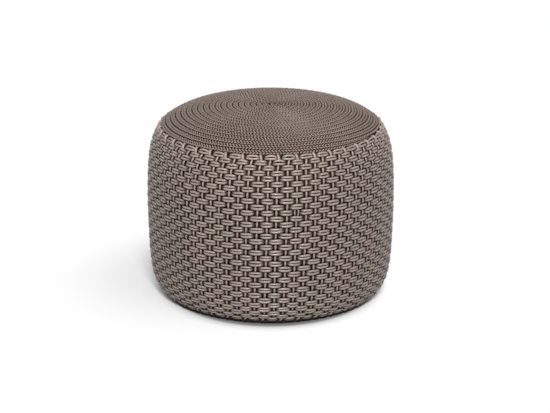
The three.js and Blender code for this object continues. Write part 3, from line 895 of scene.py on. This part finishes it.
for strand in range(STRANDS):
    phase = -even / PLAIT_LENGTH * FULL_TURN + strand * FULL_TURN / STRANDS
    swing = PLAIT_SWING * fit * np.sin(phase)
    rise = PLAIT_RISE * (np.sin(2 * phase) - PLAIT_HOLLOW * np.cos(2 * phase))
    drop = PLAIT_DEPTH + STRAND_HALF_HEIGHT - rise
    radius, height, out_r, out_z = on_crown(middle + swing, drop)
    angle = turns * FULL_TURN
    path, out = around(radius, height, angle), around(out_r, out_z, angle)
    wide = STRAND_HALF_WIDTH * np.clip(fit, NOSE_LEAST, 1)
    # Painted shade in the seams between the first turns
    seam_shade = SEAM_SHADE_DEPTH * np.sin(phase) ** 4 * np.exp(-np.abs(turns) / SEAM_TURNS)
    # Less painted shade on the nose paints it lighter
    depth = drop + seam_shade - NOSE_LESS_SHADE * (1 - nose)
    plait = tube(path, out, wide, STRAND_HALF_HEIGHT, STRAND_SIDES, depth)
    show(cord_piece(f"coil_strand_{strand + 1}", [plait]), braid, "braided_cord", "coiled_top")

# Foam pad: quick-dry foam cut to a crowned disc, between the board and the coil. It gives the seat its
# round top and its give.
PAD_STATIONS = 24
PAD_FACETS = 96
PAD_SHARP_EDGE = 50
PAD_BEVEL = 1 * MM
PAD_EDGE = 2.4 * MM
PAD_INSET = 12 * MM
FOAM_CELL = 2 * MM

low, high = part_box("crown_pad")
pad_radius, pad_bottom = high[0], low[2]
pad_far = np.linspace(0, 1, PAD_STATIONS) * (CROWN_LENGTH - PAD_INSET)
under_r, under_z, _, _ = on_crown(pad_far, COIL_THICKNESS + 2 * CLEARANCE)
keep = under_r < pad_radius - PAD_BEVEL
pad_section = [
    (0, pad_bottom),
    (pad_radius - PAD_BEVEL, pad_bottom),
    (pad_radius, pad_bottom + PAD_BEVEL),
    (pad_radius, pad_bottom + PAD_EDGE),
]
pad_section += zip(under_r[keep][::-1], under_z[keep][::-1])
pad = turned("foam_crown", pad_section, PAD_FACETS, closed=False, crease=PAD_SHARP_EDGE)

# Reticulated foam: charcoal, fully matt, with open cells about 2 mm across
foam, tree, shader = finish("polyurethane_foam_open_cell", Roughness=0.95, IOR=1.45)
place = add(tree, "ShaderNodeTexCoord").outputs["Object"]
pores = add(tree, "ShaderNodeTexVoronoi", {"Vector": place}, Scale=1 / FOAM_CELL).outputs["Distance"]
# The charcoal is partly the foam's own colour and partly painted shade for the gaps of the coil over it
charcoal = add(tree, "ShaderNodeValToRGB", {"Fac": pores}, [(0.1, "2b2927"), (0.6, "4d4a46")])
tree.links.new(charcoal.outputs["Color"], shader.inputs["Base Color"])
bump = add(tree, "ShaderNodeBump", {"Height": pores}, Strength=0.6, Distance=0.8 * MM)
tree.links.new(bump.outputs["Normal"], shader.inputs["Normal"])
show(pad, foam, "quick_dry_foam", "crown_pad")

# Floor: a sheet of white studio paper. To the eye it is plain white, apart from a soft shadow round the
# stool and behind it, but it throws back only a little light, as a floor of grey card would.
FLOOR_HALF = 6.0
SHADOW_MIDDLE = (-0.15, 0.03, 0)
SHADOW_INNER, SHADOW_OUTER, SHADOW_LEAST_WHITE = 0.1, 0.38, 0.4
CAST_HALF_WIDTH, CAST_LENGTH, CAST_MIDDLE, CAST_INNER = 0.29, 0.7, 0.45, 0.75
CONTACT_INNER, CONTACT_OUTER = 0.257, 0.297

# Shadow right under the weave, by the distance from the middle. It is narrower to the left and right.
SIDE_NARROWER = 1.09
CONTACT_STOPS = [(0.244, "3c3432"), (0.252, "8c8c8c"), (0.26, "989898"), (0.268, "ececec"), (0.33, "ffffff")]


def looked_at(tree):
    """1 for rays that look at the paper or see it mirrored, 0 for those that only carry its light."""
    ray = add(tree, "ShaderNodeLightPath").outputs
    sums = {"operation": "ADD", "use_clamp": True}
    seen = add(tree, "ShaderNodeMath", {0: ray["Is Camera Ray"], 1: ray["Is Glossy Ray"]}, **sums).outputs[0]
    return add(tree, "ShaderNodeMath", {0: seen, 1: ray["Is Transmission Ray"]}, **sums).outputs[0]


floor_signs = ((-1, -1), (1, -1), (1, 1), (-1, 1))
floor_corners = [(x * FLOOR_HALF, y * FLOOR_HALF, 0) for x, y in floor_signs]
floor_mesh = bpy.data.meshes.new("studio_floor")
floor_mesh.from_pydata(floor_corners, [], [(0, 1, 2, 3)])
floor = bpy.data.objects.new("studio_floor", floor_mesh)
bpy.context.scene.collection.objects.link(floor)

# Studio paper: matt white, its grain too fine to show
paper, tree, shader = finish("paper_backdrop_white", Roughness=0.9)
place = add(tree, "ShaderNodeTexCoord").outputs["Object"]
seen = looked_at(tree)
tones = {"Factor": seen, COLOUR_A: (0.2, 0.2, 0.2, 1), COLOUR_B: (0.97, 0.97, 0.97, 1)}
tone = add(tree, "ShaderNodeMix", tones, data_type="RGBA").outputs[COLOUR_OUT]
narrowed = add(tree, "ShaderNodeVectorMath", {0: place, 1: (SIDE_NARROWER, 1, 1)}, operation="MULTIPLY")
away = add(tree, "ShaderNodeVectorMath", {0: narrowed.outputs[0]}, operation="LENGTH").outputs["Value"]
contact = add(tree, "ShaderNodeValToRGB", {"Fac": away}, CONTACT_STOPS).outputs["Color"]
toned = add(tree, "ShaderNodeVectorMath", {0: tone, 1: contact}, operation="MULTIPLY")
tree.links.new(toned.outputs[0], shader.inputs["Base Color"])

# The paper clears to plain white outside the contact shadow, away from the soft shadow beside the
# stool, and beyond the long one behind it
beside = add(tree, "ShaderNodeVectorMath", {0: place, 1: SHADOW_MIDDLE}, operation="SUBTRACT").outputs[0]
beside = add(tree, "ShaderNodeVectorMath", {0: beside}, operation="LENGTH").outputs["Value"]
cast_scale = (1 / CAST_HALF_WIDTH, 1 / CAST_LENGTH, 0)
cast_shift = (0, -CAST_MIDDLE / CAST_LENGTH, 0)
cast = {0: place, 1: cast_scale, 2: cast_shift}
cast = add(tree, "ShaderNodeVectorMath", cast, operation="MULTIPLY_ADD").outputs[0]
cast = add(tree, "ShaderNodeVectorMath", {0: cast}, operation="LENGTH").outputs["Value"]
edges = (
    (away, CONTACT_INNER, CONTACT_OUTER, 0),
    (beside, SHADOW_INNER, SHADOW_OUTER, SHADOW_LEAST_WHITE),
    (cast, CAST_INNER, 1, 0),
)
clear = seen
for distance, inner, outer, least in edges:
    edge = {"Value": distance, "From Min": inner, "From Max": outer, "To Min": least}
    share = add(tree, "ShaderNodeMapRange", edge, interpolation_type="SMOOTHSTEP").outputs[0]
    clear = add(tree, "ShaderNodeMath", {0: clear, 1: share}, operation="MULTIPLY").outputs[0]
plain = add(tree, "ShaderNodeEmission", Color=(1, 1, 1, 1), Strength=1.0)
mixed = add(tree, "ShaderNodeMixShader", {0: clear, 1: shader.outputs[0], 2: plain.outputs[0]})
tree.links.new(mixed.outputs[0], tree.nodes["Material Output"].inputs["Surface"])
floor_mesh.materials.append(paper)

# Light: white all round to the eye and in reflections, with a weak even light, a soft lamp from the
# front and above, and a low strip behind that gives the back its shape.
AROUND_STRENGTH = 0.1
AIM = (0, 0, 0.2)
SOFTBOX_PLACE, SOFTBOX_SIZE, SOFTBOX_POWER = (0.12, -2.84, 2.54), (0.7, 0.7), 130
STRIP_PLACE, STRIP_SIZE, STRIP_POWER = (0, 2.6, 0.1), (1.0, 0.18), 30

world = bpy.data.worlds.new("studio")
bpy.context.scene.world = world
world.use_nodes = True
tree = world.node_tree
tree.nodes.clear()
soft = add(tree, "ShaderNodeBackground", Color=(1, 1, 1, 1), Strength=AROUND_STRENGTH)
white = add(tree, "ShaderNodeBackground", Color=(1, 1, 1, 1), Strength=1.0)
mixed = add(tree, "ShaderNodeMixShader", {0: looked_at(tree), 1: soft.outputs[0], 2: white.outputs[0]})
add(tree, "ShaderNodeOutputWorld", {"Surface": mixed.outputs[0]})


def lamp(name, place, size, power):
    """A rectangular softbox at a place, turned to the stool."""
    data = bpy.data.lights.new(name, "AREA")
    data.shape = "RECTANGLE"
    data.size, data.size_y = size
    data.energy = power
    made = bpy.data.objects.new(name, data)
    made.location = place
    towards = mathutils.Vector(AIM) - mathutils.Vector(place)
    made.rotation_euler = towards.to_track_quat("-Z", "Y").to_euler()
    bpy.context.scene.collection.objects.link(made)
    return made


lamp("softbox_front", SOFTBOX_PLACE, SOFTBOX_SIZE, SOFTBOX_POWER)
strip = lamp("strip_back", STRIP_PLACE, STRIP_SIZE, STRIP_POWER)
strip.visible_glossy = False

# Camera: a long lens in front of the stool and above it, level across, looking down by 19 degrees. It
# was fitted to the silhouette in the photograph.
VIEW_HEIGHT = 1.453
VIEW_DISTANCE = 3.709
LOOK_AT = 0.185
SENSOR_WIDTH = 36
LENS = 112.6
FRAME_SHIFT = 0.0079

camera_data = bpy.data.cameras.new("photo_camera")
camera_data.sensor_width = SENSOR_WIDTH
camera_data.lens = LENS
camera_data.shift_x = FRAME_SHIFT
camera = bpy.data.objects.new("photo_camera", camera_data)
camera.location = (0, -VIEW_DISTANCE, VIEW_HEIGHT)
camera.rotation_euler = (math.atan2(VIEW_DISTANCE, VIEW_HEIGHT - LOOK_AT), 0, 0)
bpy.context.scene.collection.objects.link(camera)
bpy.context.scene.camera = camera
bpy.context.scene.view_settings.view_transform = "Standard"

# Brings the scene up to date
bpy.context.view_layer.update()
